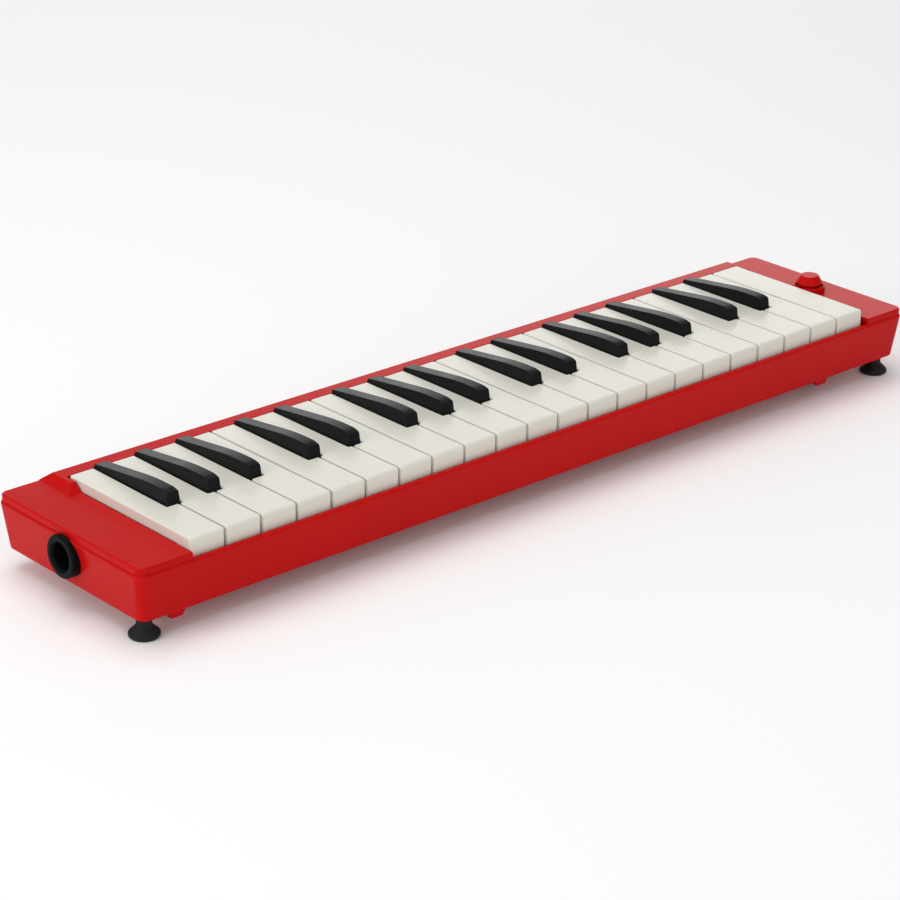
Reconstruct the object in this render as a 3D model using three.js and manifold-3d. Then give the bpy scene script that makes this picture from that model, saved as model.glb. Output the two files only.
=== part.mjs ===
// Melodica with 37 keys: a two-part case on rubber feet, a wind chest with reed plates, and a lever per key.
// Millimetres, +Z up, +X to the treble end, +Y to the rear. Lengths are counted from the lowest key's left edge
// and from the front lip's inner edge; the outer group then moves the whole to its own bottom centre.
import * as THREE from "three";
import { mergeVertices } from "three/addons/utils/BufferGeometryUtils.js";
import Module from "manifold-3d";

const wasm = await Module();
wasm.setup();

// ---------------------------------------------------------------- driving dimensions
const PITCH = 19.4; // one white key
const WHITE_COUNT = 22;
const KEYBOARD = PITCH * WHITE_COUNT;
const GAP = 0.3; // between pieces that touch on the real object
const SIDES = 16; // facets of a round piece
const FINE = 28; // facets of a large one
const COARSE = 12; // facets of a small one
const BEARING = 8; // facets of a hub or a bearing
const BASS_KEYS = 19; // keys whose reeds are on the bass plate

// Case
const CASE_LEFT = -28.7;
const CASE_RIGHT = KEYBOARD + 28.5;
const CASE_FRONT = -2.85;
const CASE_REAR = CASE_FRONT + 105.7;
const CASE_BOTTOM = 9.6;
const RIM_TOP = 33.45;
const DECK_TOP = 36.6;
const RAIL_TOP = 40.3;
// How far each wall leans in from rim to floor
const LEAN = { left: 3.75, right: 0.5, front: 4.3, rear: 0.4 };
const CORNER = 4.6;
const INNER_CORNER = 1.5;
const WALL = 2.6;
const FLOOR = 2.2;
const PLATE = 2.2; // thickness of the decks
const REVEAL = 0.7; // the upper case stands in from the rim
const FELT = 2.1; // top of the felt above its shelf
const EDGE = 0.7; // rounding of the rim and of the bottom edge
const OVER = 1; // how far a cutter stands past the face it cuts
const WELL_BOTTOM = 25; // down to here the front wall is upright inside, clear of the pressed keys
const SHELF = { left: 2, front: -0.3, rear: 13, bottom: 22, top: 24.2 }; // carries the felt
const LUGS = { places: [-5.4, KEYBOARD - 25.7], reach: 6, tip: 2.9, bottom: 6, front: 3.4, rear: 8 };
const STUD = { x: -10, y: 12.5, radius: 4.6, bottom: 7.4 };
const BOSS_TOP = 31.2;
const BOSS_RADIUS = 4.2;

// Keyboard opening
const DECK_GAP = { left: 0.3, right: 1.6 }; // deck edge to keyboard edge
const BLOCK_GAP = 0.3; // raised block to keyboard edge
const BLOCK_FRONT = 79;
const BLOCK_SLOPE = 4.3;
const BLOCK_RISE = 4;
const BLOCK_TOP_WIDTH = 2.2;
const RAIL_FRONT = 90.3;
const RAIL_CREST = 97.7;
const RAIL_SKIRT = 36.3; // lower edge of the rail's front wall
const SKIRT = { front: 1, rear: 40, bottom: 29.5, thick: 2 }; // walls under the decks' inner edges

// Keys
const KEY_GAP = 1;
const WHITE_TOP = 41.2;
const WHITE_FRONT = 0.95;
const WHITE_REAR = 88.5;
const WHITE_BOTTOM = 31; // lower edge of the front face
const SIDE_BOTTOM = 36; // lower edge of the key's side walls
const KEY_ROUND = 1.8;
const KEY_WALL = 1.8;
const KEY_SKIN = 2.4;
const BLACK_WIDTH = 7.3;
const BLACK_FRONT = 34.5;
const BLACK_REAR = 89.6;
const CREST = WHITE_TOP + 6; // top of a black key
const FALL = { from: 43, straight: 59, slope: 0.122 }; // its spine bends down, then runs straight
const NOTCH = 0.6; // clearance round a black key
// Sideways place of a black key from the joint of its white neighbours, by the white key on its left (F = 0)
const BLACK_SHIFT = { 0: -0.11, 1: 0.02, 2: 0.18, 4: -0.09, 5: 0.1 };

// Key levers
const PIVOT_Y = 68;
const PIVOT_Z = 33.4;
const ROD_RADIUS = 1.2;
const BORE_RADIUS = ROD_RADIUS + GAP;
const HUB_RADIUS = 3.1;
const LEVER_WIDTH = 6.4;
const LEVER_BOTTOM = 31.3;
const PAD_FRONT = 83;
const PAD_REAR = 93.3;
const SEAL = 1;

// Wind chest
const CHEST_BOTTOM = CASE_BOTTOM + FLOOR + GAP;
const CHEST_TOP = 27.5;
const CHEST_FRONT = 44;
const CHEST_REAR = 94;
const CHEST_LEFT = -2.4;
const CHEST_RIGHT = KEYBOARD + 2.4;
const CHEST_WALL = 2;
const COVER = 1.6;
const GASKET = 0.8;
const INLET_LEFT = -12;
const INLET_TOP = 33.9;
const HOLE = { width: 4.4, front: 85.4, rear: 91 };
const POST_WIDTH = 2.6;
const END_POST = 1.4; // the end posts' middles, in from the keyboard's ends
const COMB = { front: 46, rear: 51, tip: 63, rise: 30.1, thick: 0.5, width: 3 };

// Mouthpiece socket
const SOCKET_Y = 51.55;
const SOCKET_Z = 24.5;
const SOCKET_FRONT = CASE_LEFT - 2.5;
const SOCKET_RADIUS = 9.9;
const BARREL_RADIUS = 8;
const SOCKET_BORE = 6.3;
const SLOT = 4.6; // half the width of the slot that lets the socket in from the rim

// Drain button
const DRAIN_X = KEYBOARD + 10.7;
const DRAIN_Y = 47;
const COLLAR_RADIUS = 8.4;
const COLLAR_TOP = DECK_TOP + 3.1;
const COLLAR_FLOOR = COLLAR_TOP - 1.5; // the pressed button sinks into the collar
const BUTTON_BASE = COLLAR_TOP + 0.9;
const BUTTON_TOP = BUTTON_BASE + 4.4;
const BUTTON_RADIUS = 7;
const BUTTON_TOP_RADIUS = 4.5;
const PLUNGER_RADIUS = 5.1;
const PLUNGER_BOTTOM = 33.2;
const STEM_RADIUS = 1.5;
const VALVE_RADIUS = 4;
const DRAIN_HOLE = 2.6;
const GUIDE_BOTTOM = 30.5;

// Feet, screws and the parts under the case
const FRONT_FEET = [-19.25, KEYBOARD + 20.25];
const REAR_FEET = [6.15, KEYBOARD - 5.15];
const FEET_IN = 11; // from the front and rear of the rim
const FOOT_HOLE = 2.5;
const SHANK = 1.4; // radius of a screw
const HEAD = 2.9;
const HEAD_BOTTOM = CASE_BOTTOM + 0.6;
const HEAD_TOP = HEAD_BOTTOM + 1.7;
const SCREWS = [
  [-17, 27],
  [-17, 80],
  [KEYBOARD + 17.5, 24],
  [KEYBOARD + 17.5, 80],
];

// ---------------------------------------------------------------- materials
function plastic(color, roughness) {
  return new THREE.MeshStandardMaterial({ color, roughness, metalness: 0 });
}

function metal(color, roughness) {
  return new THREE.MeshStandardMaterial({ color, roughness, metalness: 1 });
}

const redGloss = plastic(0xb41e20, 0.22);
const ivory = plastic(0xe4e1d6, 0.35);
const satinBlack = plastic(0x222426, 0.42);
const blackRubber = plastic(0x141414, 0.75);
const greyPlastic = plastic(0x8d9092, 0.5);
const whiteFelt = plastic(0xd9d4c6, 0.95);
const paleSilicone = plastic(0xd8d2c4, 0.6);
const brass = metal(0xb89a54, 0.32);
const steel = metal(0xa9acb0, 0.3);

// ---------------------------------------------------------------- solids
function solid(geometry) {
  const bare = geometry.index ? geometry : geometry.clone();
  bare.deleteAttribute("normal");
  bare.deleteAttribute("uv");
  const merged = mergeVertices(bare, 1e-4);
  return new wasm.Manifold(
    new wasm.Mesh({
      numProp: 3,
      vertProperties: new Float32Array(merged.attributes.position.array),
      triVerts: new Uint32Array(merged.index.array),
    }),
  );
}

function join(solids) {
  return solids.reduce((whole, next) => whole.add(next));
}

function cut(whole, solids) {
  return solids.reduce((left, next) => left.subtract(next), whole);
}

function shapeOf(points) {
  return new THREE.Shape(points.map(([u, v]) => new THREE.Vector2(u, v)));
}

function block(x0, x1, y0, y1, z0, z1) {
  const geometry = new THREE.BoxGeometry(x1 - x0, y1 - y0, z1 - z0);
  return solid(geometry.translate((x0 + x1) / 2, (y0 + y1) / 2, (z0 + z1) / 2));
}

// A profile of [y, z] points drawn along X
function prismX(profile, x0, x1) {
  const options = { depth: x1 - x0, bevelEnabled: false };
  const geometry = new THREE.ExtrudeGeometry(shapeOf(profile), options);
  const turn = new THREE.Matrix4().makeBasis(
    new THREE.Vector3(0, 1, 0),
    new THREE.Vector3(0, 0, 1),
    new THREE.Vector3(1, 0, 0),
  );
  return solid(geometry.applyMatrix4(turn).translate(x0, 0, 0));
}

// A section of [x, z] points drawn along Y
function prismY(section, y0, y1) {
  const options = { depth: y1 - y0, bevelEnabled: false };
  const geometry = new THREE.ExtrudeGeometry(shapeOf(section), options);
  return solid(geometry.rotateX(Math.PI / 2).translate(0, y1, 0));
}

// A profile of [radius, z] points, from the bottom up, turned about the upright axis through x, y
function turned(profile, x, y, sides = SIDES) {
  const points = profile.map(([r, z]) => new THREE.Vector2(r, z));
  const geometry = new THREE.LatheGeometry(points, sides);
  return solid(geometry.rotateX(Math.PI / 2).translate(x, y, 0));
}

function rodZ(x, y, z0, z1, radius, sides = SIDES) {
  return turned([[0, z0], [radius, z0], [radius, z1], [0, z1]], x, y, sides);
}

function rodX(y, z, x0, x1, radius, sides = SIDES) {
  const geometry = new THREE.CylinderGeometry(radius, radius, x1 - x0, sides);
  return solid(geometry.rotateZ(Math.PI / 2).translate((x0 + x1) / 2, y, z));
}

// A rectangle with round corners, anticlockwise
function roundedRectangle(x0, x1, y0, y1, radius, steps = 4) {
  const corners = [
    [x1 - radius, y0 + radius, -90],
    [x1 - radius, y1 - radius, 0],
    [x0 + radius, y1 - radius, 90],
    [x0 + radius, y0 + radius, 180],
  ];
  return corners.flatMap(([x, y, start]) =>
    Array.from({ length: steps + 1 }, (_, i) => {
      const angle = THREE.MathUtils.degToRad(start + (90 * i) / steps);
      return [x + radius * Math.cos(angle), y + radius * Math.sin(angle)];
    }),
  );
}

// A closed solid through convex outlines of equal length, one at each height
function loft(levels) {
  const count = levels[0].outline.length;
  const position = levels.flatMap(({ outline, z }) =>
    outline.flatMap(([x, y]) => [x, y, z]),
  );
  const index = [];
  levels.slice(1).forEach((_, level) => {
    for (let i = 0; i < count; i++) {
      const a = level * count + i;
      const b = level * count + ((i + 1) % count);
      index.push(a, b, b + count, a, b + count, a + count);
    }
  });
  const top = (levels.length - 1) * count;
  for (let i = 1; i < count - 1; i++) {
    index.push(0, i + 1, i);
    index.push(top, top + i, top + i + 1);
  }
  const geometry = new THREE.BufferGeometry();
  geometry.setAttribute("position", new THREE.Float32BufferAttribute(position, 3));
  return solid(geometry.setIndex(index));
}

const instrument = new THREE.Group();
const centreX = (SOCKET_FRONT + CASE_RIGHT) / 2;
const centreY = (CASE_FRONT + CASE_REAR) / 2;
instrument.position.set(-centreX, -centreY, 0);

function addPiece(name, made, material) {
  const { numProp, numVert, vertProperties, triVerts } = made.getMesh();
  const position = new Float32Array(numVert * 3);
  for (let i = 0; i < numVert; i++) {
    position.set(vertProperties.subarray(i * numProp, i * numProp + 3), i * 3);
  }
  const geometry = new THREE.BufferGeometry();
  geometry.setAttribute("position", new THREE.BufferAttribute(position, 3));
  geometry.setIndex(new THREE.BufferAttribute(triVerts, 1));
  geometry.computeVertexNormals();
  const mesh = new THREE.Mesh(geometry, material);
  mesh.name = name;
  instrument.add(mesh);
}

// ---------------------------------------------------------------- case
// The share of its lean that a wall has reached at height z, counted from its upright rim
function leant(z) {
  const rim = RIM_TOP - EDGE;
  return Math.max(rim - z, 0) / (rim - CASE_BOTTOM);
}

// The case in plan, drawn in by inset, as a ring of points at height z
function caseRing(inset, z, front = CASE_FRONT + inset) {
  const share = leant(z);
  const outline = roundedRectangle(
    CASE_LEFT + inset + LEAN.left * share,
    CASE_RIGHT - inset - LEAN.right * share,
    front + LEAN.front * share,
    CASE_REAR - inset - LEAN.rear * share,
    Math.max(CORNER - inset, INNER_CORNER),
  );
  return { z, outline };
}

function lowerCase() {
  const shell = loft([
    caseRing(EDGE, CASE_BOTTOM),
    caseRing(0, CASE_BOTTOM + EDGE),
    caseRing(0, RIM_TOP - EDGE),
    caseRing(EDGE * 0.6, RIM_TOP),
  ]);
  const hollow = loft([
    caseRing(WALL, CASE_BOTTOM + FLOOR, 0),
    caseRing(WALL, WELL_BOTTOM, -LEAN.front * leant(WELL_BOTTOM)),
    caseRing(WALL, RIM_TOP + OVER, 0),
  ]);
  const { left, front, rear, bottom, top } = SHELF;
  const shelf = block(left, KEYBOARD - left, front, rear, bottom, top);
  const ribs = [0.02, 0.25, 0.5, 0.75, 0.98].map((share) => {
    const x = left + (KEYBOARD - 2 * left) * share;
    return block(x - 1, x + 1, front + 3.8, rear - 1, CASE_BOTTOM + 1, bottom + 0.5);
  });
  const bosses = SCREWS.map(([x, y]) =>
    rodZ(x, y, CASE_BOTTOM + 1, BOSS_TOP, BOSS_RADIUS, COARSE),
  );
  const lugs = LUGS.places.map((x) =>
    prismY(
      [
        [x - LUGS.reach, CASE_BOTTOM + 1],
        [x - LUGS.tip, LUGS.bottom],
        [x + LUGS.tip, LUGS.bottom],
        [x + LUGS.reach, CASE_BOTTOM + 1],
      ],
      LUGS.front,
      LUGS.rear,
    ),
  );
  const stud = rodZ(STUD.x, STUD.y, STUD.bottom, CASE_BOTTOM + 1, STUD.radius);
  const under = CASE_BOTTOM - OVER;
  const inside = CASE_BOTTOM + FLOOR + OVER;
  const holes = [
    rodX(SOCKET_Y, SOCKET_Z, CASE_LEFT - OVER, INLET_LEFT - 6, BARREL_RADIUS + GAP),
    block(CASE_LEFT - OVER, CASE_LEFT + 8, SOCKET_Y - SLOT, SOCKET_Y + SLOT, SOCKET_Z, RIM_TOP + OVER),
    rodZ(DRAIN_X, DRAIN_Y, under, inside, DRAIN_HOLE, COARSE),
    ...footPlaces().map(([x, y]) => rodZ(x, y, under, inside, FOOT_HOLE, COARSE)),
    ...SCREWS.map(([x, y]) => rodZ(x, y, under, BOSS_TOP + OVER, SHANK + 0.5, BEARING)),
    ...SCREWS.map(([x, y]) => rodZ(x, y, under, HEAD_TOP + GAP, HEAD + 0.4, COARSE)),
  ];
  const body = join([shell.subtract(hollow), shelf, ...ribs, ...bosses, ...lugs, stud]);
  return cut(body, holes);
}

// The raised rail behind the keys and the two blocks beside its ends, as one sloping hill; inset thins it
function hill(inset, bottom) {
  const side = BLOCK_TOP_WIDTH + BLOCK_GAP;
  const ring = (reach, front, rear, z) => {
    const x0 = inset - side - reach;
    const x1 = KEYBOARD + side + reach - inset;
    return { z, outline: [[x0, front], [x1, front], [x1, rear], [x0, rear]] };
  };
  const foot = [BLOCK_SLOPE, BLOCK_FRONT + inset, CASE_REAR - REVEAL - inset];
  const crest = [0, BLOCK_FRONT + BLOCK_RISE + inset, RAIL_CREST - inset];
  return loft([
    ring(...foot, bottom),
    ring(...foot, DECK_TOP - 0.01 - inset / 2),
    ring(...crest, RAIL_TOP - inset),
  ]);
}

function upperCase() {
  const bandBottom = RIM_TOP + GAP;
  const at = (ring, z) => ({ ...ring, z });
  const outer = loft([
    at(caseRing(REVEAL, RIM_TOP), bandBottom),
    at(caseRing(REVEAL, RIM_TOP), DECK_TOP - EDGE),
    at(caseRing(REVEAL + EDGE * 0.7, RIM_TOP), DECK_TOP),
  ]);
  const inner = loft([
    at(caseRing(WALL, RIM_TOP), bandBottom - OVER),
    at(caseRing(WALL, RIM_TOP), DECK_TOP - PLATE),
  ]);
  const [left, right] = [-DECK_GAP.left, KEYBOARD + DECK_GAP.right];
  const skirts = [left - SKIRT.thick, right].map((x) =>
    block(x, x + SKIRT.thick, SKIRT.front, SKIRT.rear, SKIRT.bottom, DECK_TOP - 1),
  );
  const bosses = SCREWS.map(([x, y]) =>
    rodZ(x, y, BOSS_TOP + GAP, DECK_TOP - 1, BOSS_RADIUS - 0.2, COARSE),
  );
  const collar = rodZ(DRAIN_X, DRAIN_Y, DECK_TOP - 1, COLLAR_TOP, COLLAR_RADIUS, FINE);
  const guide = rodZ(DRAIN_X, DRAIN_Y, GUIDE_BOTTOM, DECK_TOP - 1, PLUNGER_RADIUS + 2.2);
  const railWall = block(
    -BLOCK_GAP - WALL,
    KEYBOARD + BLOCK_GAP + WALL,
    RAIL_FRONT - 0.5,
    RAIL_FRONT + 2,
    RAIL_SKIRT,
    RAIL_TOP - 1.5,
  );
  const room = hill(2, DECK_TOP - PLATE - OVER);
  const deck = outer.subtract(inner).subtract(room);
  const crown = hill(0, DECK_TOP - 1).subtract(room);
  const body = join([deck, crown, railWall, ...skirts, ...bosses, collar, guide]);
  const [low, high] = [BOSS_TOP - 10, RAIL_TOP + 20];
  const openings = [
    block(left, right, CASE_FRONT - OVER, BLOCK_FRONT + 0.4, low, high),
    block(-BLOCK_GAP, KEYBOARD + BLOCK_GAP, BLOCK_FRONT - OVER, RAIL_FRONT, low, high),
    rodZ(DRAIN_X, DRAIN_Y, low, high, PLUNGER_RADIUS + GAP),
    rodZ(DRAIN_X, DRAIN_Y, COLLAR_FLOOR, high, BUTTON_RADIUS + 0.4, FINE),
    ...SCREWS.map(([x, y]) => rodZ(x, y, BOSS_TOP - 1, DECK_TOP - 1.4, SHANK + 0.3, BEARING)),
  ];
  return cut(body, openings);
}

// ---------------------------------------------------------------- keys
function blackAfter(index) {
  return index >= 0 && index < WHITE_COUNT - 1 && index % 7 in BLACK_SHIFT;
}

function blackCentre(index) {
  return PITCH * (index + 1 + BLACK_SHIFT[index % 7]);
}

// Left and right edges of a white key at its front and beside the black keys
function whiteEdges(index) {
  const left = PITCH * index + KEY_GAP / 2;
  const right = PITCH * (index + 1) - KEY_GAP / 2;
  const reach = BLACK_WIDTH / 2 + NOTCH;
  return {
    left,
    right,
    rearLeft: blackAfter(index - 1) ? blackCentre(index - 1) + reach : left,
    rearRight: blackAfter(index) ? blackCentre(index) - reach : right,
  };
}

function leverCentre({ index, black }) {
  const { rearLeft, rearRight } = whiteEdges(index);
  return black ? blackCentre(index) : (rearLeft + rearRight) / 2;
}

// The arm under a key: from its front end over the pivot rod to the pad that closes the key's hole
function lever(x, front, top) {
  const half = LEVER_WIDTH / 2;
  const padBottom = CHEST_TOP + GAP + SEAL + GAP;
  const arm = prismX(
    [
      [front, LEVER_BOTTOM],
      [PAD_FRONT, LEVER_BOTTOM],
      [PAD_FRONT, padBottom],
      [PAD_REAR, padBottom],
      [PAD_REAR, 33.4],
      [WHITE_REAR - 0.3, 33.9],
      [WHITE_REAR - KEY_WALL, SIDE_BOTTOM + 0.5],
      [WHITE_REAR - KEY_WALL, top],
      [front, top],
    ],
    x - half,
    x + half,
  );
  const [left, right] = [x - half - OVER, x + half + OVER];
  const hub = rodX(PIVOT_Y, PIVOT_Z, x - half, x + half, HUB_RADIUS, BEARING);
  const bore = rodX(PIVOT_Y, PIVOT_Z, left, right, BORE_RADIUS, BEARING);
  const hubBottom = PIVOT_Z - HUB_RADIUS;
  const slot = block(left, right, PIVOT_Y - 1.3, PIVOT_Y + 1.3, hubBottom - OVER, PIVOT_Z);
  return cut(arm.add(hub), [bore, slot]);
}

function whiteKey(index) {
  const { left, right, rearLeft, rearRight } = whiteEdges(index);
  const round = Array.from({ length: 4 }, (_, i) => {
    const angle = (Math.PI / 2) * (i / 3);
    return [
      WHITE_FRONT + KEY_ROUND * (1 - Math.cos(angle)),
      WHITE_TOP - KEY_ROUND * (1 - Math.sin(angle)),
    ];
  });
  const profile = [
    [WHITE_FRONT + 4, WHITE_BOTTOM],
    [WHITE_FRONT, WHITE_BOTTOM],
    ...round,
    [WHITE_REAR, WHITE_TOP],
    [WHITE_REAR, SIDE_BOTTOM],
    [WHITE_FRONT + 10, SIDE_BOTTOM],
  ];
  const notch = BLACK_FRONT - NOTCH;
  const full = prismX(profile, left, right);
  const low = WHITE_BOTTOM - OVER;
  const high = WHITE_TOP + OVER;
  const rear = WHITE_REAR + OVER;
  const notches = [];
  if (rearLeft > left) notches.push(block(left - OVER, rearLeft, notch, rear, low, high));
  if (rearRight < right) notches.push(block(rearRight, right + OVER, notch, rear, low, high));
  const ceiling = WHITE_TOP - KEY_SKIN;
  const front = WHITE_FRONT + KEY_WALL;
  const hollow = (x0, x1, end) =>
    block(x0 + KEY_WALL, x1 - KEY_WALL, front, end - KEY_WALL, low, ceiling);
  const hollows = [hollow(left, right, notch), hollow(rearLeft, rearRight, WHITE_REAR)];
  const arm = lever(leverCentre({ index }), 22, ceiling + 0.4);
  return cut(full, [...notches, ...hollows]).add(arm);
}

// How far a black key's spine has fallen below its crest at y
function spineDrop(y) {
  const bend = FALL.straight - FALL.from;
  const along = Math.max(y - FALL.from, 0);
  return FALL.slope * (along < bend ? along ** 2 / (2 * bend) : along - bend / 2);
}

function blackKey(index) {
  const x = blackCentre(index);
  const bend = [0, 0.25, 0.5, 0.75, 1].map((share) =>
    THREE.MathUtils.lerp(FALL.from, FALL.straight, share),
  );
  const profile = [
    [BLACK_FRONT, SIDE_BOTTOM - 2],
    [BLACK_FRONT + 0.5, WHITE_TOP + 4.1],
    [BLACK_FRONT + 1.3, WHITE_TOP + 5.1],
    [BLACK_FRONT + 3.9, CREST],
    ...[...bend, BLACK_REAR].map((y) => [y, CREST - spineDrop(y)]),
    [BLACK_REAR, WHITE_TOP - 3.6],
    [WHITE_REAR - KEY_WALL, SIDE_BOTTOM],
    [BLACK_FRONT + 6, SIDE_BOTTOM],
    [BLACK_FRONT + 4, SIDE_BOTTOM - 2],
  ];
  const half = BLACK_WIDTH / 2;
  const top = half - 0.3;
  const section = [
    [x - half, 30],
    [x + half, 30],
    [x + half, WHITE_TOP],
    [x + top, CREST + 1],
    [x - top, CREST + 1],
    [x - half, WHITE_TOP],
  ];
  const shaped = prismX(profile, x - half - 1, x + half + 1).intersect(
    prismY(section, BLACK_FRONT - 1, BLACK_REAR + 1),
  );
  return shaped.add(lever(x, BLACK_FRONT + 4, SIDE_BOTTOM + 2));
}

const whiteIndexes = Array.from({ length: WHITE_COUNT }, (_, index) => index);
const keys = whiteIndexes.flatMap((index) => {
  const white = { index, black: false };
  return blackAfter(index) ? [white, { index, black: true }] : [white];
});

function addKeys() {
  let whites = 0;
  let blacks = 0;
  const label = (number) => String(number).padStart(2, "0");
  keys.forEach(({ index, black }) => {
    if (black) {
      addPiece(`black_key_${label(++blacks)}`, blackKey(index), satinBlack);
    } else {
      addPiece(`white_key_${label(++whites)}`, whiteKey(index), ivory);
    }
  });
}

// ---------------------------------------------------------------- lever works
// Joints of two white keys with no black key between them, and both ends: the rod's posts stand there
function postPlaces() {
  const inner = whiteIndexes
    .filter((index) => !blackAfter(index) && index < WHITE_COUNT - 1)
    .map((index) => PITCH * (index + 1));
  return [END_POST, ...inner, KEYBOARD - END_POST];
}

function hingeRod() {
  const end = END_POST - POST_WIDTH / 2;
  return rodX(PIVOT_Y, PIVOT_Z, end, KEYBOARD - end, ROD_RADIUS, COARSE);
}

function springComb() {
  const bottom = CHEST_TOP + GAP;
  const { front, rear, tip, rise, thick, width } = COMB;
  const strip = block(2, KEYBOARD - 2, front, rear, bottom, bottom + thick);
  const root = rear - 1;
  const tongue = [[root, bottom], [root, bottom + thick], [tip, rise + thick], [tip, rise]];
  const tongues = keys.map((key) => {
    const x = leverCentre(key);
    return prismX(tongue, x - width / 2, x + width / 2);
  });
  return join([strip, ...tongues]);
}

function stopFelt() {
  const { left, front, rear, top } = SHELF;
  return block(left + 2, KEYBOARD - left - 2, front + 2.5, rear - 2, top + GAP, top + FELT);
}

function keyHoles(width, z0, z1) {
  return keys.map((key) => {
    const x = leverCentre(key);
    return block(x - width / 2, x + width / 2, HOLE.front, HOLE.rear, z0, z1);
  });
}

function palletSeal() {
  const bottom = CHEST_TOP + GAP;
  const sheet = block(1, KEYBOARD - 1, PAD_FRONT - 0.6, CHEST_REAR - 0.3, bottom, bottom + SEAL);
  return cut(sheet, keyHoles(HOLE.width, bottom - 1, bottom + SEAL + 1));
}

// ---------------------------------------------------------------- wind chest
// The chest's bays drawn in by d: the main box, the inlet at its left end, the drain bay at its right end
function chestBays(d, z0, z1) {
  const [front, rear] = [CHEST_FRONT, SOCKET_Y + 11];
  return [
    block(CHEST_LEFT + d, CHEST_RIGHT - d, front + d, CHEST_REAR - d, z0, z1),
    block(INLET_LEFT + d, CHEST_LEFT + 4 - d, front - 2 + d, rear - d, z0, z1),
    block(CHEST_RIGHT - 4 + d, DRAIN_X + 7 - d, front - 3 + d, DRAIN_Y + 7 - d, z0, z1),
  ];
}

// The air's way through: the three bays and the passages between them
function chestRooms(z0, z1) {
  return [
    ...chestBays(CHEST_WALL, z0, z1),
    block(CHEST_LEFT - 3, CHEST_LEFT + 6, CHEST_FRONT + 4, SOCKET_Y + 7, z0, z1),
    block(CHEST_RIGHT - 6, CHEST_RIGHT + 4, CHEST_FRONT + 2.5, DRAIN_Y + 4.5, z0, z1),
  ];
}

function windChest() {
  const bottom = CHEST_BOTTOM + COVER + GASKET + 2 * GAP;
  const ceiling = CHEST_TOP - CHEST_WALL;
  const [front, rear] = [CHEST_FRONT - 2, SOCKET_Y + 11];
  const inlet = block(INLET_LEFT, CHEST_LEFT, front, rear, bottom, INLET_TOP);
  const inletRoom = block(
    INLET_LEFT + CHEST_WALL,
    CHEST_LEFT - CHEST_WALL,
    front + CHEST_WALL,
    rear - CHEST_WALL,
    bottom - OVER,
    INLET_TOP - CHEST_WALL,
  );
  const [postFront, postRear] = [PIVOT_Y - 2.6, PIVOT_Y + 2.6];
  const [postBottom, postTop] = [CHEST_TOP - 1, PIVOT_Z + 2.1];
  const posts = postPlaces().map((x) => {
    const [left, right] = [x - POST_WIDTH / 2, x + POST_WIDTH / 2];
    return block(left, right, postFront, postRear, postBottom, postTop);
  });
  const mouth = INLET_LEFT + CHEST_WALL;
  const holes = [
    rodX(PIVOT_Y, PIVOT_Z, -10, KEYBOARD + 10, BORE_RADIUS, BEARING),
    rodX(SOCKET_Y, SOCKET_Z, INLET_LEFT - OVER, mouth + 0.5, BARREL_RADIUS + GAP),
    rodZ(DRAIN_X, DRAIN_Y, ceiling - OVER, CHEST_TOP + OVER, STEM_RADIUS + GAP, COARSE),
    ...keyHoles(HOLE.width, ceiling - OVER, CHEST_TOP + OVER),
  ];
  const box = join([...chestBays(0, bottom, CHEST_TOP), inlet]);
  const shell = cut(box, [...chestRooms(bottom - OVER, ceiling), inletRoom]);
  return cut(join([shell, ...posts]), holes);
}

function chestCover() {
  const top = CHEST_BOTTOM + COVER;
  const drain = rodZ(DRAIN_X, DRAIN_Y, CHEST_BOTTOM - OVER, top + OVER, DRAIN_HOLE, COARSE);
  return join(chestBays(0, CHEST_BOTTOM, top)).subtract(drain);
}

function coverGasket() {
  const bottom = CHEST_BOTTOM + COVER + GAP;
  const top = bottom + GASKET;
  return cut(join(chestBays(0, bottom, top)), chestRooms(bottom - OVER, top + OVER));
}

// A brass plate with one slot and one tongue for each of its keys; the tongues shorten towards the treble
function reedPlate(first, last) {
  const top = CHEST_TOP - CHEST_WALL - GAP;
  const bottom = top - 1;
  const own = keys.slice(first, last);
  const left = leverCentre(own[0]) - 5;
  const right = leverCentre(own[own.length - 1]) + 5;
  const plate = block(left, right, 52, CHEST_REAR - CHEST_WALL - 0.4, bottom, top);
  const slots = [];
  const tongues = [];
  own.forEach((key, place) => {
    const x = leverCentre(key);
    const length = 32 - (18 * (first + place)) / (keys.length - 1);
    const front = HOLE.rear - length;
    slots.push(block(x - 1.6, x + 1.6, front, HOLE.rear - 0.4, bottom - 1, top + 1));
    tongues.push(block(x - 1.2, x + 1.2, front - 3, HOLE.rear - 0.9, bottom - 0.3, bottom + 0.2));
  });
  return join([cut(plate, slots), ...tongues]);
}

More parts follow.
